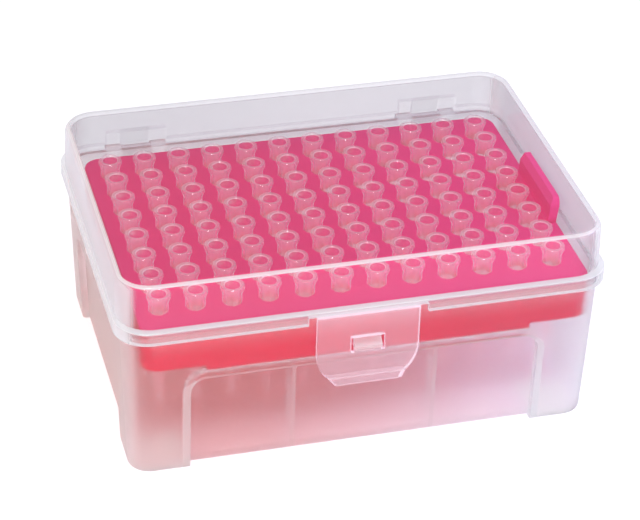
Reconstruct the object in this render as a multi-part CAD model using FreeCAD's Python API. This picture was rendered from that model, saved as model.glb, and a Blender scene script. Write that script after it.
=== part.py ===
import FreeCAD, Part
import math
import os

# Box of pipette tips: a tub with four corner feet, a drop-in rack carrying a grid of tips,
# a clear lid hinged at the back and a latch that hangs from the front of the lid.
# Millimetres, +Z up. X is the long side, the latch faces -Y and the hinges are at +Y.
# The origin is the middle of the surface that the feet stand on.

# Tip grid
TIP_PITCH = 9.0
TIP_COLUMNS = 12
TIP_ROWS = 8
ROWS_PER_GROUP = 4
GRID_OFFSET_X = -0.8

# Tips
TIP_LENGTH = 32.0
TIP_RIM_FLARE = 0.6
TIP_RIM_HEIGHT = 1.0
TIP_RIM_EDGE = 0.15
TIP_MOUTH_EDGE = 0.25
TIP_COLLAR_HEIGHT = 1.4
TIP_NECK_R = 2.35
TIP_STAND = 4.8
TIP_SHOULDER = 0.35
TIP_END_R = 0.45
TIP_MOUTH_R = 1.85
TIP_SOCKET_R = 1.6
TIP_SOCKET_DEPTH = 7.0
TIP_BORE_R = 1.25
TIP_ORIFICE_R = 0.22
TIP_RIBS = 8
TIP_RIB_WIDTH = 0.35
TIP_RIB_DEPTH = 0.12

# Base
BASE_LENGTH = 119.4
BASE_WIDTH = 86.2
BASE_HEIGHT = 41.5
BASE_WALL = 1.2
BASE_CORNER_R = 7.0
BASE_DRAFT_DEG = 2.0
BASE_EDGE_R = 1.1
FOOT_LENGTH = 16.0
FOOT_WIDTH = 16.0
FOOT_LIFT = 0.8
PANEL_RECESS = 1.8
ARCH_CORNER_R = 4.0
RIB_X = 17.9
RIB_THICKNESS = 1.2
RIB_DEPTH = 2.5
RIB_BELOW_LEDGE = 0.6

# Rack
RACK_BELOW_RIM = 1.2
RACK_HEIGHT = 12.2
RACK_PLATE = 1.5
RACK_WALL = 1.2
RACK_PLAY_X = 2.4
RACK_PLAY_Y = 1.0
RACK_SHIFT_X = 1.2
RACK_SHIFT_Y = 0.4
RACK_CORNER_R = 4.3
RACK_EDGE_R = 0.5
RACK_SEAT_MARGIN = 3.2
RACK_CORNER_LIFT = 1.4
HOLE_CLEARANCE = 0.12
TAB_LENGTH = 24.0
TAB_OFFSET_Y = -2.0
TAB_HEIGHT = 6.3
TAB_LEAN = 0.8
TAB_THICKNESS = 2.1
TAB_FOOT_R = 0.9
TAB_LIP_WIDTH = 1.1
TAB_LIP_HEIGHT = 1.8
TAB_CORNER_R = 2.5
TAB_SLIT = 0.7
TAB_SLIT_DEPTH = 3.4

# Lid
LID_WALL = 1.2
LID_SEAT_GAP = 0.3
LID_SHOULDER = 1.2
LID_SHOULDER_X = 0.8
LID_SHOULDER_Y = 1.8
LID_SKIRT_DROP = 2.2
LID_SKIRT_CLEARANCE = 0.3
LID_RISE = 11.7
LID_CORNER_R = 8.5
LID_DRAFT_DEG = 1.6
LID_TOP_R = 2.0
LID_SKIRT_EDGE_R = 0.3

# Hinges
HINGE_SPACING = 80.0
HINGE_WIDTH = 16.0
KNUCKLE_WIDTH = 7.6
KNUCKLE_R = 1.8
KNUCKLE_SIDE_GAP = 0.2
KNUCKLE_BACK_GAP = 0.3
KNUCKLE_MOUTH = 1.5
PIN_R = 0.9
PIN_CLEARANCE = 0.08
EAR_R = 1.4
EAR_ROOT = 6.0
HINGE_PAD_RISE = 3.5

# Latch
LATCH_OFFSET_X = -0.7
LATCH_WIDTH = 25.5
LATCH_SIDE_GAP = 2.1
LATCH_THICKNESS = 1.0
LATCH_ROLL_R = 0.6
LATCH_ROLL_GAP = 0.05
LATCH_STRAIGHT = 10.7
LATCH_CURVE_R = 9.8
LATCH_CURVE_DROP = 7.2
LIP_LENGTH = 1.6
LIP_ANGLE_DEG = 50.0
LIP_TAPER = 2.0
WINDOW_WIDTH = 8.4
WINDOW_TOP = 6.6
WINDOW_HEIGHT = 4.3
TONGUE_WIDTH = 6.8
TONGUE_RISE = 0.9
CATCH_CLEARANCE = 0.3
CATCH_REACH = 0.8
CATCH_FACE = 0.9
CATCH_TOP_GAP = 0.2

# Levels and half sizes that several pieces share
RACK_TOP = BASE_HEIGHT - RACK_BELOW_RIM
LEDGE_Z = RACK_TOP - RACK_HEIGHT
TIP_TOP = RACK_TOP + TIP_STAND
TIP_RIM_R = TIP_NECK_R + TIP_RIM_FLARE
TIP_SHANK_R = TIP_NECK_R - TIP_SHOULDER
HOLE_R = TIP_SHANK_R + HOLE_CLEARANCE
SEAT_Z = BASE_HEIGHT + LID_SEAT_GAP
SHOULDER_Z = SEAT_Z + LID_SHOULDER
SKIRT_Z = SEAT_Z - LID_SKIRT_DROP
LID_TOP_Z = SHOULDER_Z + LID_RISE
SKIRT_GROWTH = LID_SKIRT_CLEARANCE + LID_WALL
HINGE_Y = BASE_WIDTH / 2 + KNUCKLE_R + KNUCKLE_BACK_GAP
HINGE_Z = BASE_HEIGHT - EAR_R
LATCH_OUTER_Y = -(BASE_WIDTH / 2 + SKIRT_GROWTH)
LATCH_AXIS_Y = LATCH_OUTER_Y + LATCH_ROLL_R
LATCH_AXIS_Z = SEAT_Z - LATCH_ROLL_GAP - LATCH_ROLL_R
TONGUE_TOP = LATCH_AXIS_Z - WINDOW_TOP - WINDOW_HEIGHT + TONGUE_RISE
CATCH_HEIGHT = WINDOW_HEIGHT - TONGUE_RISE - CATCH_CLEARANCE - CATCH_TOP_GAP
RACK_PLACE = FreeCAD.Vector(RACK_SHIFT_X, RACK_SHIFT_Y, 0)
OVERSHOOT = 2.0


def vec(x, y, z):
    return FreeCAD.Vector(x, y, z)


def box(x0, x1, y0, y1, z0, z1):
    """A block between two opposite corners."""
    return Part.makeBox(x1 - x0, y1 - y0, z1 - z0, vec(x0, y0, z0))


def rounded_outline(length, width, radius, z):
    """A closed rectangle centred on Z with four quarter-circle corners."""
    a = length / 2
    b = width / 2
    centres = [(a - radius, b - radius), (radius - a, b - radius),
               (radius - a, radius - b), (a - radius, radius - b)]
    edges = []
    for i, (cx, cy) in enumerate(centres):
        angles = [math.radians(90 * i + turn) for turn in (0, 45, 90)]
        start, middle, end = [vec(cx + radius * math.cos(t), cy + radius * math.sin(t), z) for t in angles]
        edges.append(Part.Arc(start, middle, end).toShape())
        nx, ny = centres[(i + 1) % 4]
        turn = math.radians(90 * (i + 1))
        after = vec(nx + radius * math.cos(turn), ny + radius * math.sin(turn), z)
        edges.append(Part.makeLine(end, after))
    return Part.Wire(edges)


def tapered_block(length, width, radius, top, draft_deg, inset, z0, z1):
    """A drafted block whose outline is length by width at the level top, moved in by inset."""
    outlines = []
    for z in (z0, z1):
        shrink = inset + (top - z) * math.tan(math.radians(draft_deg))
        outlines.append(rounded_outline(length - 2 * shrink, width - 2 * shrink, radius - shrink, z))
    return Part.makeLoft(outlines, True, True)


def flat_polygon(points, axis):
    """A face through (a, b) points: axis 'x' puts them in the YZ plane, 'y' in the XZ plane."""
    if axis == "x":
        corners = [vec(0, a, b) for a, b in points]
    else:
        corners = [vec(a, 0, b) for a, b in points]
    return Part.Face(Part.makePolygon(corners + corners[:1]))


def extrude_x(face, x0, x1):
    """A YZ face carried from x0 to x1."""
    moved = face.translated(vec(x0, 0, 0))
    return moved.extrude(vec(x1 - x0, 0, 0))


def mirrored_x(shape):
    return shape.mirror(vec(0, 0, 0), vec(1, 0, 0))


def edges_at_height(shape, z):
    """Every edge that lies wholly at the level z."""
    near = 1e-4
    return [e for e in shape.Edges if abs(e.BoundBox.ZMin - z) < near and abs(e.BoundBox.ZMax - z) < near]


# ---- Base ----

def base_block(inset, z0, z1):
    return tapered_block(BASE_LENGTH, BASE_WIDTH, BASE_CORNER_R, BASE_HEIGHT, BASE_DRAFT_DEG, inset, z0, z1)


def wall_half_width(z):
    """Outer half width of the base's long walls at a level."""
    return BASE_WIDTH / 2 - (BASE_HEIGHT - z) * math.tan(math.radians(BASE_DRAFT_DEG))


def arch_half(total, foot, growth):
    return total / 2 - foot + growth


def arch_prism(half, top, radius, depth):
    """A tunnel along Y whose section is a rectangle with two rounded upper corners."""
    bend = radius * math.sqrt(0.5)
    low = -OVERSHOOT
    left = -half
    right = half
    spring = top - radius
    edges = [
        Part.makeLine(vec(left, 0, low), vec(left, 0, spring)),
        Part.Arc(vec(left, 0, spring), vec(left + radius - bend, 0, spring + bend),
                 vec(left + radius, 0, top)).toShape(),
        Part.makeLine(vec(left + radius, 0, top), vec(right - radius, 0, top)),
        Part.Arc(vec(right - radius, 0, top), vec(right - radius + bend, 0, spring + bend),
                 vec(right, 0, spring)).toShape(),
        Part.makeLine(vec(right, 0, spring), vec(right, 0, low)),
        Part.makeLine(vec(right, 0, low), vec(left, 0, low)),
    ]
    face = Part.Face(Part.Wire(edges)).translated(vec(0, -depth / 2, 0))
    return face.extrude(vec(0, depth, 0))


def panel_recesses(growth):
    """What the four recessed panels take away between the feet, grown by a wall for the inside."""
    top = LEDGE_Z - BASE_WALL + growth
    radius = ARCH_CORNER_R + growth
    reach = 2 * BASE_LENGTH
    long_arch = arch_prism(arch_half(BASE_LENGTH, FOOT_LENGTH, growth), top, radius, reach)
    short_arch = arch_prism(arch_half(BASE_WIDTH, FOOT_WIDTH, growth), top, radius, reach)
    short_arch = short_arch.rotated(vec(0, 0, 0), vec(0, 0, 1), 90)
    core = base_block(growth + PANEL_RECESS, -OVERSHOOT, BASE_HEIGHT + OVERSHOOT)
    return long_arch.fuse(short_arch).cut(core)


def floor_cross(growth, top):
    """The cross-shaped part of the floor between the feet, up to a level."""
    half_x = arch_half(BASE_LENGTH, FOOT_LENGTH, growth)
    half_y = arch_half(BASE_WIDTH, FOOT_WIDTH, growth)
    long_slab = box(-half_x, half_x, -BASE_WIDTH, BASE_WIDTH, -OVERSHOOT, top)
    short_slab = box(-BASE_LENGTH, BASE_LENGTH, -half_y, half_y, -OVERSHOOT, top)
    return long_slab.fuse(short_slab)


def inner_ribs():
    """Four upright ribs inside the front and back panels, ending just under the ledge."""
    top = LEDGE_Z - RIB_BELOW_LEDGE
    inner = wall_half_width(0) - PANEL_RECESS - BASE_WALL - RIB_DEPTH
    ribs = []
    for x in (-RIB_X, RIB_X):
        for side in (-1, 1):
            y0, y1 = sorted((side * inner, side * BASE_WIDTH / 2))
            ribs.append(box(x - RIB_THICKNESS / 2, x + RIB_THICKNESS / 2, y0, y1, FOOT_LIFT, top))
    inside = base_block(PANEL_RECESS + BASE_WALL / 2, FOOT_LIFT + BASE_WALL / 2, top)
    return ribs[0].fuse(ribs[1:]).common(inside)


def catch():
    """The wedge on the front wall that fills the latch's window and stops its tongue."""
    low = TONGUE_TOP + CATCH_CLEARANCE
    tip_y = LATCH_OUTER_Y - CATCH_REACH
    root_y = -wall_half_width(low) + BASE_WALL / 2
    section = [(root_y, low), (tip_y, low), (tip_y, low + CATCH_FACE),
               (-wall_half_width(low + CATCH_HEIGHT), low + CATCH_HEIGHT), (root_y, low + CATCH_HEIGHT)]
    half = TONGUE_WIDTH / 2
    return extrude_x(flat_polygon(section, "x"), LATCH_OFFSET_X - half, LATCH_OFFSET_X + half)


def hinge_ears():
    """Two ears and the pin between them, for the hinge on the +X side."""
    root_y = BASE_WIDTH / 2 - BASE_WALL / 2
    section = flat_polygon([(root_y, HINGE_Z + EAR_R), (HINGE_Y, HINGE_Z + EAR_R),
                            (HINGE_Y + EAR_R, HINGE_Z), (HINGE_Y, HINGE_Z - EAR_R),
                            (root_y, HINGE_Z - EAR_ROOT)], "x")
    centre = HINGE_SPACING / 2
    gap_half = KNUCKLE_WIDTH / 2 + KNUCKLE_SIDE_GAP
    ears = []
    for x0, x1 in ((centre - HINGE_WIDTH / 2, centre - gap_half), (centre + gap_half, centre + HINGE_WIDTH / 2)):
        boss = Part.makeCylinder(EAR_R, x1 - x0, vec(x0, HINGE_Y, HINGE_Z), vec(1, 0, 0))
        ears.append(extrude_x(section, x0, x1).fuse(boss))
    overlap = (HINGE_WIDTH / 2 - gap_half) / 2
    pin_length = 2 * (gap_half + overlap)
    pin = Part.makeCylinder(PIN_R, pin_length, vec(centre - pin_length / 2, HINGE_Y, HINGE_Z), vec(1, 0, 0))
    return ears[0].fuse([ears[1], pin])


def make_base():
    outside = base_block(0, 0, BASE_HEIGHT)
    outside = outside.makeFillet(BASE_EDGE_R, edges_at_height(outside, 0))
    outside = outside.cut(panel_recesses(0)).cut(floor_cross(0, FOOT_LIFT))
    hollow = base_block(BASE_WALL, BASE_WALL, BASE_HEIGHT + OVERSHOOT)
    hollow = hollow.cut(panel_recesses(BASE_WALL)).cut(floor_cross(BASE_WALL, FOOT_LIFT + BASE_WALL))
    ears = hinge_ears()
    return outside.cut(hollow).fuse([inner_ribs(), catch(), ears, mirrored_x(ears)])


# ---- Rack ----

def rack_outline_sizes():
    length = BASE_LENGTH - 2 * (BASE_WALL + RACK_PLAY_X)
    width = BASE_WIDTH - 2 * (BASE_WALL + RACK_PLAY_Y)
    return length, width


def prism(length, width, radius, z0, z1):
    face = Part.Face(rounded_outline(length, width, radius, z0))
    return face.extrude(vec(0, 0, z1 - z0))


def tip_places():
    """Column number, row number and centre of each tip on the rack, rows counted from the front."""
    for column in range(TIP_COLUMNS):
        for row in range(TIP_ROWS):
            x = (column - (TIP_COLUMNS - 1) / 2) * TIP_PITCH + GRID_OFFSET_X
            y = (row - (TIP_ROWS - 1) / 2) * TIP_PITCH
            yield column, row, x, y


def grip_tab(half_length):
    """The tab that leans outwards from the rack's +X end, with a sloping lip inside its top edge."""
    outer = half_length
    inner = outer - TAB_THICKNESS
    top = RACK_TOP + TAB_HEIGHT
    bend = TAB_FOOT_R * (1 - math.sqrt(0.5))
    face = flat_polygon([(inner - TAB_FOOT_R, RACK_TOP - RACK_PLATE / 2), (inner - TAB_FOOT_R, RACK_TOP),
                         (inner - bend, RACK_TOP + bend), (inner, RACK_TOP + TAB_FOOT_R),
                         (inner + TAB_LEAN - TAB_LIP_WIDTH / 2, top - TAB_LIP_HEIGHT),
                         (inner + TAB_LEAN + TAB_LIP_WIDTH / 2, top), (outer + TAB_LEAN, top), (outer, RACK_TOP),
                         (outer, RACK_TOP - RACK_PLATE)], "y")
    y0 = TAB_OFFSET_Y - TAB_LENGTH / 2
    tab = face.translated(vec(0, y0, 0)).extrude(vec(0, TAB_LENGTH, 0))
    front_top = [e for e in tab.Edges if e.BoundBox.ZMin > top - 1e-4 and e.BoundBox.YMax < y0 + 1e-4]
    return tab.makeFillet(TAB_CORNER_R, front_top)


def tab_slits(half_length):
    """Narrow cuts at both ends of the tab, through the plate and a little way down the end wall."""
    y0 = TAB_OFFSET_Y - TAB_LENGTH / 2
    y1 = y0 + TAB_LENGTH
    low = RACK_TOP - 2 * RACK_PLATE
    front = box(half_length - TAB_THICKNESS, half_length + OVERSHOOT, y0 - TAB_SLIT, y0, low, RACK_TOP + OVERSHOOT)
    back = box(half_length - TAB_SLIT_DEPTH, half_length + OVERSHOOT, y1, y1 + TAB_SLIT, low, RACK_TOP + OVERSHOOT)
    return front.fuse(back)


def make_rack():
    length, width = rack_outline_sizes()
    outside = prism(length, width, RACK_CORNER_R, LEDGE_Z, RACK_TOP)
    outside = outside.makeFillet(RACK_EDGE_R, edges_at_height(outside, RACK_TOP))
    hollow = prism(length - 2 * RACK_WALL, width - 2 * RACK_WALL, RACK_CORNER_R - RACK_WALL,
                   LEDGE_Z - OVERSHOOT, RACK_TOP - RACK_PLATE)
    seat_half = arch_half(BASE_LENGTH, FOOT_LENGTH, 0) - RACK_SEAT_MARGIN
    lifted = []
    for x0, x1 in ((-BASE_LENGTH, -seat_half), (seat_half, BASE_LENGTH)):
        lifted.append(box(x0, x1, -BASE_WIDTH, BASE_WIDTH, LEDGE_Z - OVERSHOOT, LEDGE_Z + RACK_CORNER_LIFT))
    shell = outside.cut([hollow] + lifted)
    shell = shell.fuse(grip_tab(length / 2)).cut(tab_slits(length / 2))
    holes = [Part.makeCylinder(HOLE_R, RACK_PLATE + 2 * OVERSHOOT, vec(x, y, RACK_TOP - RACK_PLATE - OVERSHOOT))
             for _, _, x, y in tip_places()]
    return shell.cut(Part.makeCompound(holes)).translated(RACK_PLACE)


# ---- Tips ----

def tip_profile():
    """Half section as (radius, height above the rack's plate), outside downwards and bore upwards."""
    top = TIP_STAND
    end = TIP_STAND - TIP_LENGTH
    return [
        (TIP_MOUTH_R, top - TIP_MOUTH_EDGE), (TIP_MOUTH_R + TIP_MOUTH_EDGE, top),
        (TIP_RIM_R - TIP_RIM_EDGE, top), (TIP_RIM_R, top - TIP_RIM_EDGE),
        (TIP_RIM_R, top - TIP_RIM_HEIGHT), (TIP_NECK_R, top - TIP_RIM_HEIGHT - TIP_COLLAR_HEIGHT),
        (TIP_NECK_R, 0), (TIP_SHANK_R, 0), (TIP_END_R, end), (TIP_ORIFICE_R, end),
        (TIP_BORE_R, top - TIP_SOCKET_DEPTH), (TIP_SOCKET_R, top - TIP_SOCKET_DEPTH + 1),
    ]


def make_tip():
    """One tip standing with its neck's shoulder on the level z = 0, centred on Z."""
    section = flat_polygon(tip_profile(), "y")
    body = section.revolve(vec(0, 0, 0), vec(0, 0, 1), 360)
    ribs = []
    rib_top = TIP_STAND - TIP_RIM_HEIGHT - TIP_COLLAR_HEIGHT / 2
    for i in range(TIP_RIBS):
        rib = box(TIP_NECK_R - TIP_RIB_DEPTH, TIP_NECK_R + TIP_RIB_DEPTH,
                  -TIP_RIB_WIDTH / 2, TIP_RIB_WIDTH / 2, 0, rib_top)
        ribs.append(rib.rotated(vec(0, 0, 0), vec(0, 0, 1), 360 * i / TIP_RIBS))
    return body.fuse(ribs)


# ---- Lid ----

def lid_block(inset, z0, z1):
    length = BASE_LENGTH + 2 * (SKIRT_GROWTH - LID_SHOULDER_X)
    width = BASE_WIDTH + 2 * (SKIRT_GROWTH - LID_SHOULDER_Y)
    return tapered_block(length, width, LID_CORNER_R, SHOULDER_Z, -LID_DRAFT_DEG, inset, z0, z1)


def hinge_knuckle():
    """The lid's half of the hinge on the +X side: pad, arm and ring, without the pin's bore."""
    centre = HINGE_SPACING / 2
    wall_y = BASE_WIDTH / 2 + SKIRT_GROWTH - LID_SHOULDER_Y - LID_WALL / 2
    skirt_y = BASE_WIDTH / 2 + SKIRT_GROWTH
    pad = box(centre - HINGE_WIDTH / 2, centre + HINGE_WIDTH / 2, wall_y, skirt_y,
              SHOULDER_Z - LID_SHOULDER / 2, SHOULDER_Z + HINGE_PAD_RISE)
    x0 = centre - KNUCKLE_WIDTH / 2
    x1 = centre + KNUCKLE_WIDTH / 2
    inner_y = skirt_y - LID_WALL
    arm = extrude_x(flat_polygon([(inner_y, HINGE_Z), (inner_y, SHOULDER_Z), (skirt_y, SHOULDER_Z + HINGE_PAD_RISE),
                                  (HINGE_Y + KNUCKLE_R, HINGE_Z)], "x"), x0, x1)
    ring = Part.makeCylinder(KNUCKLE_R, x1 - x0, vec(x0, HINGE_Y, HINGE_Z), vec(1, 0, 0))
    return pad.fuse([arm, ring])


def hinge_cuts():
    """Room in the lid for the pin, for snapping over it and for the base's two ears."""
    centre = HINGE_SPACING / 2
    x0 = centre - HINGE_WIDTH / 2 - KNUCKLE_SIDE_GAP
    x1 = centre + HINGE_WIDTH / 2 + KNUCKLE_SIDE_GAP
    bore = Part.makeCylinder(PIN_R + PIN_CLEARANCE, x1 - x0, vec(x0, HINGE_Y, HINGE_Z), vec(1, 0, 0))
    mouth = box(x0, x1, HINGE_Y - KNUCKLE_MOUTH / 2, HINGE_Y + KNUCKLE_MOUTH / 2,
                HINGE_Z - KNUCKLE_R - OVERSHOOT, HINGE_Z)
    inner_y = BASE_WIDTH / 2
    outer_y = HINGE_Y + KNUCKLE_R + OVERSHOOT
    low = SKIRT_Z - OVERSHOOT
    left_ear = box(x0, centre - KNUCKLE_WIDTH / 2, inner_y, outer_y, low, SEAT_Z)
    right_ear = box(centre + KNUCKLE_WIDTH / 2, x1, inner_y, outer_y, low, SEAT_Z)
    return bore.fuse([mouth, left_ear, right_ear])


def make_lid():
    flange = prism(BASE_LENGTH + 2 * SKIRT_GROWTH, BASE_WIDTH + 2 * SKIRT_GROWTH,
                   BASE_CORNER_R + SKIRT_GROWTH, SKIRT_Z, SHOULDER_Z)
    flange = flange.makeFillet(LID_SKIRT_EDGE_R, edges_at_height(flange, SHOULDER_Z))
    crown = lid_block(0, SEAT_Z, LID_TOP_Z)
    crown = crown.makeFillet(LID_TOP_R, edges_at_height(crown, LID_TOP_Z))
    ceiling = LID_TOP_Z - LID_WALL
    hollow = lid_block(LID_WALL, SKIRT_Z - OVERSHOOT, ceiling)
    hollow = hollow.makeFillet(LID_TOP_R - LID_WALL, edges_at_height(hollow, ceiling))
    pocket = prism(BASE_LENGTH + 2 * LID_SKIRT_CLEARANCE, BASE_WIDTH + 2 * LID_SKIRT_CLEARANCE,
                   BASE_CORNER_R + LID_SKIRT_CLEARANCE, SKIRT_Z - OVERSHOOT, SEAT_Z)
    notch_half = LATCH_WIDTH / 2 + LATCH_SIDE_GAP
    notch = box(LATCH_OFFSET_X - notch_half, LATCH_OFFSET_X + notch_half,
                LATCH_OUTER_Y - OVERSHOOT, -BASE_WIDTH / 2, SKIRT_Z - OVERSHOOT, SEAT_Z)
    shell = flange.fuse(crown).cut([hollow, pocket, notch])
    knuckle = hinge_knuckle()
    cuts = hinge_cuts()
    return shell.fuse([knuckle, mirrored_x(knuckle)]).cut([cuts, mirrored_x(cuts)])


# ---- Latch ----

def latch_outline():
    """Front view of the latch: straight sides, then an arc each side, then a lip that narrows to its edge."""
    half = LATCH_WIDTH / 2
    top = LATCH_AXIS_Z + LATCH_ROLL_R
    bend = LATCH_AXIS_Z - LATCH_STRAIGHT
    sweep = math.asin(LATCH_CURVE_DROP / LATCH_CURVE_R)
    arc_points = []
    for angle in (0, sweep / 2, sweep):
        arc_points.append((half - LATCH_CURVE_R * (1 - math.cos(angle)), bend - LATCH_CURVE_R * math.sin(angle)))
    fold_x, fold_z = arc_points[2]
    lean = math.radians(LIP_ANGLE_DEG)
    end_x = fold_x - LIP_TAPER
    end_z = fold_z - LIP_LENGTH * math.cos(lean) - LATCH_THICKNESS * math.sin(lean)
    right = [vec(x, 0, z) for x, z in arc_points]
    left = [vec(-x, 0, z) for x, z in arc_points]
    edges = [
        Part.makeLine(vec(-half, 0, top), vec(half, 0, top)),
        Part.makeLine(vec(half, 0, top), right[0]),
        Part.Arc(right[0], right[1], right[2]).toShape(),
        Part.makeLine(right[2], vec(end_x, 0, end_z)),
        Part.makeLine(vec(end_x, 0, end_z), vec(-end_x, 0, end_z)),
        Part.makeLine(vec(-end_x, 0, end_z), left[2]),
        Part.Arc(left[2], left[1], left[0]).toShape(),
        Part.makeLine(left[0], vec(-half, 0, top)),
    ]
    return Part.Face(Part.Wire(edges)).translated(vec(0, -BASE_WIDTH, 0)).extrude(vec(0, BASE_WIDTH, 0))


def make_latch():
    outer = LATCH_OUTER_Y
    inner = outer + LATCH_THICKNESS
    fold_z = LATCH_AXIS_Z - LATCH_STRAIGHT - LATCH_CURVE_DROP
    angle = math.radians(LIP_ANGLE_DEG)
    out = LIP_LENGTH * math.sin(angle)
    down = LIP_LENGTH * math.cos(angle)
    shift = LATCH_THICKNESS * math.tan(angle / 2)
    side_view = flat_polygon([
        (outer, LATCH_AXIS_Z), (outer, fold_z), (outer - out, fold_z - down),
        (outer - out + LATCH_THICKNESS * math.cos(angle), fold_z - down - LATCH_THICKNESS * math.sin(angle)),
        (inner, fold_z - shift), (inner, LATCH_AXIS_Z)], "x")
    half = LATCH_WIDTH / 2
    plate = extrude_x(side_view, -half, half)
    roll = Part.makeCylinder(LATCH_ROLL_R, LATCH_WIDTH, vec(-half, LATCH_AXIS_Y, LATCH_AXIS_Z), vec(1, 0, 0))
    plate = plate.fuse(roll).common(latch_outline())
    top = LATCH_AXIS_Z - WINDOW_TOP
    low = top - WINDOW_HEIGHT
    window = box(-WINDOW_WIDTH / 2, WINDOW_WIDTH / 2, outer - OVERSHOOT, inner + OVERSHOOT, low, top)
    tongue = box(-TONGUE_WIDTH / 2, TONGUE_WIDTH / 2, outer - OVERSHOOT, inner + OVERSHOOT,
                 low - OVERSHOOT, low + TONGUE_RISE)
    return plate.cut(window.cut(tongue)).translated(vec(LATCH_OFFSET_X, 0, 0))


def export(name, shape):
    os.makedirs("parts", exist_ok=True)
    shape.exportStep(os.path.join("parts", name + ".step"))
    print(name, "valid" if shape.isValid() else "NOT VALID", len(shape.Solids), round(shape.Volume, 1))


def main():
    export("base", make_base().removeSplitter())
    export("tip_rack", make_rack().removeSplitter())
    export("lid", make_lid().removeSplitter())
    export("latch", make_latch().removeSplitter())
    tip = make_tip().removeSplitter()
    groups = {}
    for column, row, x, y in tip_places():
        key = (column + 1, "front" if row < ROWS_PER_GROUP else "back")
        groups.setdefault(key, []).append(tip.translated(vec(x, y, RACK_TOP) + RACK_PLACE))
    for (column, side), tips in groups.items():
        export(f"tips_column_{column:02d}_{side}", Part.makeCompound(tips))


main()
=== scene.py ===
"""A closed box of pipette tips: frosted base, pink rack of 96 tips, clear hinged lid and front latch.

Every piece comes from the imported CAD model. This script gives each one the finish of its own plastic,
and sets the floor, the lamps and the camera. Lengths are in metres, and +Z is up.
"""

import math

import bpy
import numpy as np
from mathutils import Matrix, Vector


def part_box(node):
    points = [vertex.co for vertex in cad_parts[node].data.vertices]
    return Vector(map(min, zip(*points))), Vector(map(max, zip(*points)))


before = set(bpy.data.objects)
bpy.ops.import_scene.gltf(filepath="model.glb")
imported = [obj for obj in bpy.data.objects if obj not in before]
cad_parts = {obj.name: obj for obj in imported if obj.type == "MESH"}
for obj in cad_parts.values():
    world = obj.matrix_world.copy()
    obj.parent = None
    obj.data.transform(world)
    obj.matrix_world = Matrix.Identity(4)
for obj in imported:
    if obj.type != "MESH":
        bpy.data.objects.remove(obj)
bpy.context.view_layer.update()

MM = 0.001

# Features of the mouldings that the finishes follow.
TIP_PITCH = 9.0 * MM
TIP_GRID_SHIFT = 0.4 * MM  # the middle of the grid of tips, along X and along Y
TAB_HEIGHT = 6.3 * MM  # the rack's grip tab, over its plate
LID_SEAT = 3.4 * MM  # about where the lid stands on the base, over the lowest point of its knuckles
LID_SHOULDER = 1.2 * MM  # the top of the lid's shoulder, over its seat
LIP_FOLD = 2.0 * MM  # about where the latch bends out into its finger lip, over its lower end
FOOT_LENGTH = 16.0 * MM  # each foot along X, from the end of the base to the recessed panel
PANEL_HALF_WIDTH = 27.1 * MM  # half of the recessed panel in an end wall
ARCH_TOP = 26.9 * MM  # the upper edge of the recessed panels
ARCH_BEND = 4.0 * MM  # the radius of their upper corners
RIB_X = 17.9 * MM  # the ribs inside the long walls
RIB_TOP = 27.5 * MM

# Between these two sizes of its normal's part along an axis, a surface comes to face along that axis.
FACING = (0.6, 0.8)

POLYPROPYLENE_IOR = 1.49


# --- nodes ---------------------------------------------------------------------------------------------


def linear(code):
    """A colour written as an sRGB hex code, turned to linear light."""
    steps = np.array([int(code[i : i + 2], 16) for i in (1, 3, 5)]) / 255.0
    light = np.where(steps <= 0.04045, steps / 12.92, ((steps + 0.055) / 1.055) ** 2.4)
    return (*map(float, light), 1.0)


def add(tree, kind, inputs=None, **settings):
    """Adds one node. inputs maps a socket's name or number to a value, or to what it is linked to.

    That is an output, a field, or a node, which stands for its first output.
    """
    node = tree.nodes.new(kind)
    for name, value in settings.items():
        setattr(node, name, value)
    for key, value in (inputs or {}).items():
        if isinstance(value, bpy.types.Node):
            value = value.outputs[0]
        if isinstance(value, Field):
            value = value.output
        if isinstance(value, bpy.types.NodeSocket):
            tree.links.new(value, node.inputs[key])
        else:
            node.inputs[key].default_value = value
    return node


class Field:
    """A number that varies over a surface. Arithmetic on fields adds the nodes that work it out."""

    def __init__(self, tree, output):
        self.tree = tree
        self.output = output

    def step(self, operation, *others):
        """One step of arithmetic, from this field and others or plain numbers."""
        terms = dict(enumerate((self, *others)))
        return Field(self.tree, add(self.tree, "ShaderNodeMath", terms, operation=operation).outputs[0])

    def __add__(self, other):
        return self.step("ADD", other)

    def __sub__(self, other):
        return self.step("SUBTRACT", other)

    def __rsub__(self, other):
        return self * -1.0 + other

    def __mul__(self, other):
        return self.step("MULTIPLY", other)

    def __rmul__(self, other):
        return self * other

    def __abs__(self):
        return self.step("ABSOLUTE")

    def rise(self, start, end):
        """0 before start, 1 past end, and a smooth rise between them. start may be the larger one."""
        limits = {"Value": self, "From Min": start, "From Max": end}
        node = add(self.tree, "ShaderNodeMapRange", limits, interpolation_type="SMOOTHSTEP")
        return Field(self.tree, node.outputs[0])

    def tint(self, first, second):
        """A colour: first where this field is 0, second where it is 1. Each is a hex code or an output."""
        first, second = (linear(end) if isinstance(end, str) else end for end in (first, second))
        mix = {"Factor": self, "A": first, "B": second}
        return add(self.tree, "ShaderNodeMix", mix, data_type="RGBA").outputs["Result"]


def read(tree, kind, output, inputs=None):
    """The field that one output of a new node gives."""
    return Field(tree, add(tree, kind, inputs).outputs[output])


def along_axes(tree, coordinate):
    """The x, y and z of a texture coordinate, as fields.

    Object is the place on the piece, in metres, and Normal is the way that the surface faces there.
    """
    split = add(tree, "ShaderNodeSeparateXYZ", {0: add(tree, "ShaderNodeTexCoord").outputs[coordinate]})
    return [Field(tree, part) for part in split.outputs]


def largest(field, *others):
    """The largest of several fields."""
    for other in others:
        field = field.step("MAXIMUM", other)
    return field


def between(first, second, share):
    """first where the field share is 0, second where it is 1, and in proportion between."""
    return (second - first) * share + first


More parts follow.
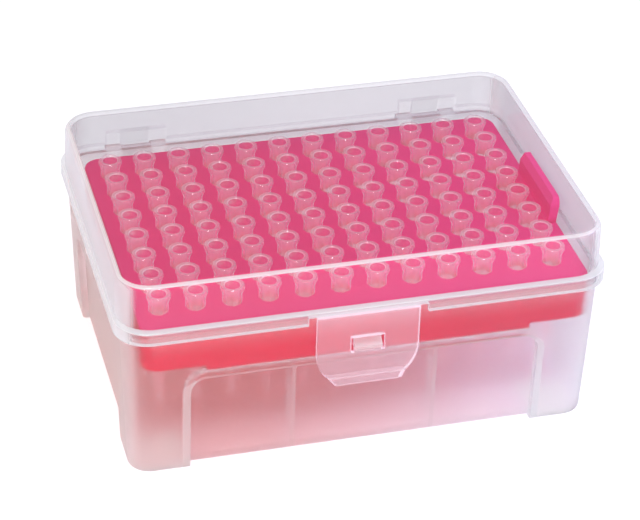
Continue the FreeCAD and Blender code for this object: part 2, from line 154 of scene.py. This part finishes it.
def new_material(name):
    """An empty node material, its nodes and its output node."""
    material = bpy.data.materials.new(name)
    material.use_nodes = True
    tree = material.node_tree
    tree.nodes.clear()
    return material, tree, tree.nodes.new("ShaderNodeOutputMaterial")


# --- plastics ------------------------------------------------------------------------------------------


def mould_grain(tree, grain, height, strength):
    """The bump that a spark-eroded mould leaves: even pits, grain across and height deep.

    Real pits are well under a tenth of a millimetre across. They are drawn coarser, so that they show.
    """
    place = add(tree, "ShaderNodeTexCoord").outputs["Object"]
    pits = {"Vector": place, "Scale": 1 / grain, "Detail": 2.0, "Roughness": 0.55}
    noise = add(tree, "ShaderNodeTexNoise", pits)
    bump = {"Height": noise.outputs["Fac"], "Strength": strength, "Distance": height}
    return add(tree, "ShaderNodeBump", bump).outputs["Normal"]


def painted_room_light(x, left, right):
    """Painted light: a colour that goes from one tint on the left to another on the right, standing in for
    the room's warmer light on the left and cooler light on the right.
    """
    warm_side, cool_side = -40 * MM, 55 * MM
    return x.rise(warm_side, cool_side).tint(left, right)


def edge_on(tree):
    """One less the cosine of the view angle: 0 where a surface faces the eye, and 1 where it is edge on."""
    return read(tree, "ShaderNodeLayerWeight", "Facing", {"Blend": 0.5})


def front_side(tree):
    """1 where a wall is seen from its outer side, and 0 where it is seen from inside the plastic."""
    return 1.0 - read(tree, "ShaderNodeNewGeometry", "Backfacing")


def join_surface(tree, out, shader, lamp_tint):
    """Makes a shader the surface, but lets the light of lamps go straight through, tinted by the plastic."""
    crossed = add(tree, "ShaderNodeBsdfTransparent", {"Color": linear(lamp_tint)})
    to_lamp = read(tree, "ShaderNodeLightPath", "Is Shadow Ray")
    lit = add(tree, "ShaderNodeMixShader", {0: to_lamp, 1: shader, 2: crossed})
    tree.links.new(lit.outputs[0], out.inputs["Surface"])


def clear_sheet(tree, depth):
    """A see-through surface that looks a little greyer the more edge on it is seen. depth scales that."""
    tint = (edge_on(tree) * depth).tint("#FFFEFF", "#E2E2E2")
    return add(tree, "ShaderNodeBsdfTransparent", {"Color": tint})


def seen_share(tree, haze, edge, thick, thick_share, start):
    """The milky share: haze face on, edge where the wall is seen edge on, thick_share where it is thick.

    start is one less the cosine of the view angle from which the wall begins to look milkier.
    """
    slant = edge_on(tree).rise(start, 1.0)
    return between(between(haze, edge, slant), thick_share, thick)


def milky_plastic(tree, out, share, clear, milk, lamp_tint, roughness, shine, most=1.0):
    """Joins a see-through shader and a milky one by share, under a gloss.

    Milkiness is light scattered in the plastic, so half of it leaves on each side of the wall. The gloss
    grows towards grazing views as a plastic's does, but never past most, and shine scales it.
    """
    front = add(tree, "ShaderNodeBsdfDiffuse", {"Color": milk})
    back = add(tree, "ShaderNodeBsdfTranslucent", {"Color": milk})
    scattered = add(tree, "ShaderNodeMixShader", {0: 0.5, 1: front, 2: back})
    body = add(tree, "ShaderNodeMixShader", {0: share, 1: clear, 2: scattered})
    fresnel = read(tree, "ShaderNodeFresnel", 0, {"IOR": POLYPROPYLENE_IOR})
    mirror = fresnel.step("MINIMUM", most) * front_side(tree) * shine
    gloss = add(tree, "ShaderNodeBsdfGlossy", {"Roughness": roughness})
    skin = add(tree, "ShaderNodeMixShader", {0: mirror, 1: body, 2: gloss})
    join_surface(tree, out, skin, lamp_tint)


def lid_plastic():
    """Clarified polypropylene, moulded in a polished tool: clear walls, and pale thick edges and ends.

    The back wall is seen from its inner side, past the rack. It stays clear, and has no glare there.
    """
    material, tree, out = new_material("clarified_polypropylene_polished")
    low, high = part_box("lid")
    seat = low.z + LID_SEAT
    shoulder = seat + LID_SHOULDER
    _, y, z = along_axes(tree, "Object")
    nx, ny, nz = along_axes(tree, "Normal")
    turn = (0.5, 0.8)  # from 60 to 37 degrees off the axis
    ahead = y.rise(41.5 * MM, 40.5 * MM)  # 0 on the back wall, and 1 on the rest of the lid
    upright = abs(ny).rise(*turn)
    level = abs(nz).rise(*turn) * ahead

    rounded = nz.rise(0.56, 0.68) * nz.rise(0.95, 0.87)  # sloped between a wall and the top
    top_edge = rounded * z.rise(high.z - 3 * MM, high.z - 2.4 * MM)
    ledge = nz.rise(0.15, 0.5) * z.rise(shoulder + 0.3 * MM, shoulder - 0.2 * MM)
    skirt = z.rise(seat, seat - 0.5 * MM) * 0.2
    ends = abs(nx).rise(0.55, 0.8) * 0.7
    thick = largest(top_edge, ledge, skirt, ends) * ahead

    clear = clear_sheet(tree, largest(level * 1.2, upright * 1.4, ahead * 0.2))
    haze = upright * 0.015 + 0.015
    share = seen_share(tree, haze=haze, edge=ahead * 0.26, thick=thick, thick_share=0.76, start=0.5)
    inner_back = (1.0 - ahead) * ny.rise(0.5, 0.2)  # the back wall's inner side
    shine = 0.7 - inner_back * 0.7
    milk = linear("#E8ECEA")
    milky_plastic(tree, out, share, clear, milk, lamp_tint="#FEFDFE", roughness=0.12, shine=shine)
    return material


def latch_plastic():
    """The same clear plastic as a thin tongue.

    Light that is piped in the sheet leaves at its edges and its bend, so they are pale.
    """
    material, tree, out = new_material("clarified_polypropylene_latch")
    low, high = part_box("latch")
    _, _, z = along_axes(tree, "Object")
    nx, ny, nz = along_axes(tree, "Normal")
    lip_end = nz.rise(-0.45, -0.6)
    fold = abs(z - (low.z + LIP_FOLD)).rise(0.4 * MM, 0.15 * MM)
    roll = z.rise(high.z - 0.8 * MM, high.z - 0.5 * MM)
    below = nz.rise(-0.35, -0.6)
    right = nx.rise(0.3, 0.6)
    rim = abs(ny).rise(0.6, 0.35) * (1.0 - below * 0.5) * (1.0 - right * 0.5)
    thick = largest(rim, lip_end, fold * 0.6, roll * 0.9)

    clear = add(tree, "ShaderNodeBsdfTransparent", {"Color": linear("#FCFBFC")})
    share = seen_share(tree, haze=0.14, edge=0.4, thick=thick, thick_share=0.75, start=0.4)
    milk = linear("#FFF4FA")
    milky_plastic(tree, out, share, clear, milk, lamp_tint="#FEFDFE", roughness=0.16, shine=0.7)
    return material


def tip_plastic():
    """Natural polypropylene tips: milky tubes with bright rims and outlines, and pink mouths.

    The skin of a tube that faces the eye carries the milkiness. The bore is painted pink: painted light,
    standing in for the pink of the rack that stands all round it.
    """
    material, tree, out = new_material("natural_polypropylene_tips")
    x, y, _ = along_axes(tree, "Object")
    nx, ny, nz = along_axes(tree, "Normal")

    def from_axis(place):
        """How far a point is from its tip's axis, in pitches of the grid."""
        pitches = place * (1 / TIP_PITCH) - TIP_GRID_SHIFT / TIP_PITCH
        return pitches.step("FRACT") - 0.5

    outward = from_axis(x) * nx + from_axis(y) * ny
    inner = outward.rise(-0.02, -0.06)
    bore = inner * nz.rise(0.5, 0.3)
    # The bevel's extra milkiness is a painted highlight: a pale ring round the mouth.
    lip = inner * nz.rise(0.5, 0.6) * nz.rise(0.9, 0.8)  # the bevel between rim and bore
    rim = nz.rise(0.5, 0.9)
    outline = edge_on(tree).rise(0.7, 0.98)
    skin = outward.rise(-0.02, 0.02) * (outline * 0.6 + 0.24)
    outer_faces = largest(skin, rim * 0.31, lip * 0.5, bore * 0.5) * front_side(tree)
    share = largest(outer_faces, 0.05)

    clear = add(tree, "ShaderNodeBsdfTransparent", {"Color": linear("#FEFEFE")})
    # The bore's milk is painted pink: painted light for the rack's pink all round it.
    milk = bore.tint("#FFF6F7", "#F47CA6")
    milky_plastic(tree, out, share, clear, milk, lamp_tint="#FEFEFE", roughness=0.1, shine=1.0, most=0.07)
    return material


def base_plastic():
    """Natural polypropylene with a matt mould finish: light goes through, and shapes behind it blur.

    The plastic is whiter where it is thick: along the step round each recessed panel, at the inner ribs,
    at the upright corners and at the catch. At the soles and floor it is milkier, and painted darker and
    pinker: painted shade, in place of the shade under the box and the pink light in the well.
    """
    material, tree, out = new_material("natural_polypropylene_frosted")
    low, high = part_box("base")
    x, y, z = along_axes(tree, "Object")
    nx, ny, nz = along_axes(tree, "Normal")
    end_wall, long_wall, level = (abs(part).rise(*FACING) for part in (nx, ny, nz))

    # outside is the distance from the panel's outline, which is upright sides, an arc each side and a top.
    # The step follows it as a band that narrows towards the top.
    past_panel = abs(x) - (high.x - FOOT_LENGTH - ARCH_BEND)
    past_end_panel = abs(y) - (PANEL_HALF_WIDTH - ARCH_BEND)
    side = largest(between(past_panel, past_end_panel, end_wall), 0.0)
    above = largest(z - (ARCH_TOP - ARCH_BEND), 0.0)
    outside = (side * side + above * above).step("SQRT") - ARCH_BEND
    width = between(1.8 * MM, 0.6 * MM, z.rise(23.5 * MM, 27 * MM))
    band = outside.rise(-0.3 * MM, 0.1 * MM) * (outside - width).rise(0.4 * MM, -0.4 * MM)
    arch = band * largest(end_wall, long_wall)

    beside_rib = abs(abs(x) - RIB_X).rise(0.8 * MM, 0.3 * MM)
    rib = beside_rib * z.rise(RIB_TOP, RIB_TOP - 1 * MM) * long_wall * 0.45
    corner = abs(nx).rise(0.55, 0.8) * abs(nx).rise(1.3, 0.85) * 0.5  # a little less on the end walls
    catch = y.rise(low.y + 2.6 * MM, low.y + 2.1 * MM)
    # The soles and floor: milkier, and painted darker and pinker, as painted shade under the box.
    sole = level * z.rise(low.z + 4 * MM, low.z + 3 * MM)
    thick = largest(arch, rib, corner, catch, sole)

    # The glass's faint warm tint on the left is painted light, for the pink light in the well and the room's
    # warmer light on the left.
    glass = add(
        tree,
        "ShaderNodeBsdfPrincipled",
        {
            "Base Color": painted_room_light(x, "#FDF6F6", "#FEFDFE"),
            "Roughness": 0.34,
            "IOR": 1.3,  # less than the solid plastic's, which keeps the thin wall pale
            "Specular IOR Level": 0.0,
            "Transmission Weight": 1.0,
            "Normal": mould_grain(tree, grain=0.4 * MM, height=0.01 * MM, strength=0.2),
        },
    )
    share = seen_share(tree, haze=0.012, edge=0.32, thick=thick, thick_share=0.5, start=0.4)
    # The milk's tints along x are painted light, warmer on the left and cooler on the right.
    wall_milk = painted_room_light(x, "#E4DAD6", "#E2EAEA")
    painted_shade_milk = painted_room_light(x, "#DCC8C4", "#E4EAEE")
    milk = sole.tint(wall_milk, painted_shade_milk)
    milky_plastic(tree, out, share, glass, milk, lamp_tint="#F0E4E8", roughness=0.45, shine=0.3)
    return material


def rack_plastic():
    """Pink polypropylene, moulded in a finely spark-eroded tool: an even, deep colour under a soft gloss.

    The pigment is mixed a little unevenly, over stretches of some 25 mm. The wall is thin enough to let
    some light through, and that light comes out redder. The colour is also painted with light: warmer on
    the left, more lilac on the right, and redder on the walls under the plate, for the light through them.
    """
    material, tree, out = new_material("pink_polypropylene_moulded")
    _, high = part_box("tip_rack")
    plate = high.z - TAB_HEIGHT
    place = add(tree, "ShaderNodeTexCoord").outputs["Object"]
    x, _, z = along_axes(tree, "Object")
    cloud = {"Vector": place, "Scale": 1 / (25 * MM), "Detail": 2.0, "Roughness": 0.5}
    uneven = read(tree, "ShaderNodeTexNoise", "Fac", cloud)
    # deep and light are the pigment's uneven tones, and both are also tinted by painted light, warmer on the
    # left and more lilac on the right.
    deep = painted_room_light(x, "#E63C7A", "#EE3E8A")
    light = painted_room_light(x, "#EC4684", "#F44892")
    # Painted light: the walls under the plate are painted redder, for the red light that comes through them.
    under = painted_room_light(x, "#DA2048", "#CC1646")
    colour = z.rise(plate - 0.2 * MM, plate - 1.2 * MM).tint(uneven.tint(deep, light), under)
    skin = add(
        tree,
        "ShaderNodeBsdfPrincipled",
        {
            "Base Color": colour,
            "Roughness": 0.36,
            "IOR": POLYPROPYLENE_IOR,
            "Specular IOR Level": 0.2,
            "Normal": mould_grain(tree, grain=0.5 * MM, height=0.01 * MM, strength=0.3),
        },
    )
    glow = add(tree, "ShaderNodeBsdfTranslucent", {"Color": linear("#F02C54")})
    share = z.rise(plate + 0.8 * MM, plate + 0.1 * MM) * 0.25
    body = add(tree, "ShaderNodeMixShader", {0: share, 1: skin, 2: glow})
    join_surface(tree, out, body, lamp_tint="#D42438")
    return material


def finish_nodes():
    """Gives each CAD node its plastic. All nodes but the four named here are groups of tips."""
    finishes = {
        "base": base_plastic(),
        "tip_rack": rack_plastic(),
        "lid": lid_plastic(),
        "latch": latch_plastic(),
    }
    tip = tip_plastic()
    for name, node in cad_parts.items():
        for slot in node.material_slots:
            slot.material = finishes.get(name, tip)


# --- stage ---------------------------------------------------------------------------------------------

# Name, place, point that it faces, side of the square, watts and tint of each softbox.
LAMPS = (
    ("key_softbox", (-0.5, -1.15, 0.8), (0, 0, 0.03), 0.3, 4.1, "#FFFAF8"),
    ("side_softbox", (0.55, -0.2, 0.35), (0, 0, 0.03), 0.3, 1.5, "#BCC4FF"),
    ("top_softbox", (-0.18, -0.62, 1.08), (0, 0, 0.04), 0.24, 5.5, "#FFFFFF"),
)


def make_floor():
    """A round sheet of white paper under the box, with its rim far outside every view.

    The eye sees the sheet lifted to white, a little less behind the box on the left, and still sees the
    box's shadow on it. The lift lights nothing else.
    """
    radius, corners = 8.0, 64
    turns = np.linspace(0, 2 * math.pi, corners, endpoint=False)
    rim = np.stack([radius * np.cos(turns), radius * np.sin(turns), np.zeros_like(turns)], axis=1)
    mesh = bpy.data.meshes.new("floor")
    mesh.from_pydata(rim.tolist(), [], [list(range(len(rim)))])
    floor = bpy.data.objects.new("floor", mesh)
    bpy.context.scene.collection.objects.link(floor)

    material, tree, out = new_material("white_paper_sweep")
    x, y, _ = along_axes(tree, "Object")
    # Painted shade: the lift is lowered behind the box on the left, so the floor there looks less lit.
    behind = y.rise(30 * MM, 90 * MM) * x.rise(50 * MM, -30 * MM)
    lift = 0.24 - behind * 0.1
    paper = add(tree, "ShaderNodeBsdfDiffuse", {"Color": linear("#E0E0E0")})
    lifted = add(tree, "ShaderNodeEmission", {"Color": linear("#FFFFFF"), "Strength": lift})
    seen = add(tree, "ShaderNodeAddShader", {0: paper, 1: lifted})
    to_eye = read(tree, "ShaderNodeLightPath", "Is Camera Ray")
    surface = add(tree, "ShaderNodeMixShader", {0: to_eye, 1: paper, 2: seen})
    tree.links.new(surface.outputs[0], out.inputs["Surface"])
    mesh.materials.append(material)


def make_world():
    """An even white room, warmer on the left and cooler on the right, with a dimmer ceiling in reflections.

    Seen straight on or through the frosted base, it is plain white.
    """
    world = bpy.data.worlds.new("studio")
    bpy.context.scene.world = world
    world.use_nodes = True
    tree = world.node_tree
    tree.nodes.clear()
    to_eye = read(tree, "ShaderNodeLightPath", "Is Camera Ray")
    through_base = read(tree, "ShaderNodeLightPath", "Is Transmission Ray")
    mirrored = read(tree, "ShaderNodeLightPath", "Is Glossy Ray")
    seen = largest(to_eye, through_base)
    x, _, z = along_axes(tree, "Generated")
    walls_to_ceiling = {"Value": z, "From Min": 0.1, "From Max": 0.45, "To Min": 0.9, "To Max": 0.5}
    room = read(tree, "ShaderNodeMapRange", 0, walls_to_ceiling)
    strength = between(between(1.0, room, mirrored), 1.0, seen)
    tint = x.rise(-1.0, 1.0).tint("#FFF8F0", "#E8ECFF")
    sky = add(tree, "ShaderNodeBackground", {"Color": seen.tint(tint, "#FFFFFF"), "Strength": strength})
    out = add(tree, "ShaderNodeOutputWorld")
    tree.links.new(sky.outputs[0], out.inputs["Surface"])


def make_lamp(name, place, aim, size, watts, tint):
    """A square softbox at place, facing aim."""
    light = bpy.data.lights.new(name, "AREA")
    light.shape = "SQUARE"
    light.size = size
    light.energy = watts
    light.color = linear(tint)[:3]
    lamp = bpy.data.objects.new(name, light)
    lamp.location = place
    lamp.rotation_euler = (Vector(aim) - Vector(place)).to_track_quat("-Z", "Y").to_euler()
    bpy.context.scene.collection.objects.link(lamp)


def make_camera():
    """The camera, from its bearing, height angle, roll and distance about a point in the box."""
    azimuth, elevation, roll = (math.radians(angle) for angle in (-15.87, 31.87, 1.91))
    distance = 0.60419
    target = Vector((0.0010, 0.0, 0.0451))
    away = Vector(
        (
            math.sin(azimuth) * math.cos(elevation),
            -math.cos(azimuth) * math.cos(elevation),
            math.sin(elevation),
        )
    )
    right = (-away).cross(Vector((0, 0, 1))).normalized()
    up = right.cross(-away)
    x_axis = math.cos(roll) * right + math.sin(roll) * up
    y_axis = -math.sin(roll) * right + math.cos(roll) * up
    data = bpy.data.cameras.new("camera")
    data.sensor_width = 36.0
    data.lens = 134.64
    data.shift_x = -0.0141
    data.shift_y = -0.0909
    data.clip_start = 0.01
    camera = bpy.data.objects.new("camera", data)
    turn = Matrix((x_axis, y_axis, away)).transposed().to_4x4()
    camera.matrix_world = Matrix.Translation(target + distance * away) @ turn
    bpy.context.scene.collection.objects.link(camera)
    bpy.context.scene.camera = camera


scene = bpy.context.scene
scene.view_settings.view_transform = "Standard"
# A line of sight along a row of tips crosses dozens of clear walls.
scene.cycles.transparent_max_bounces = 40

make_camera()
make_world()
make_floor()
for lamp in LAMPS:
    make_lamp(*lamp)
finish_nodes()
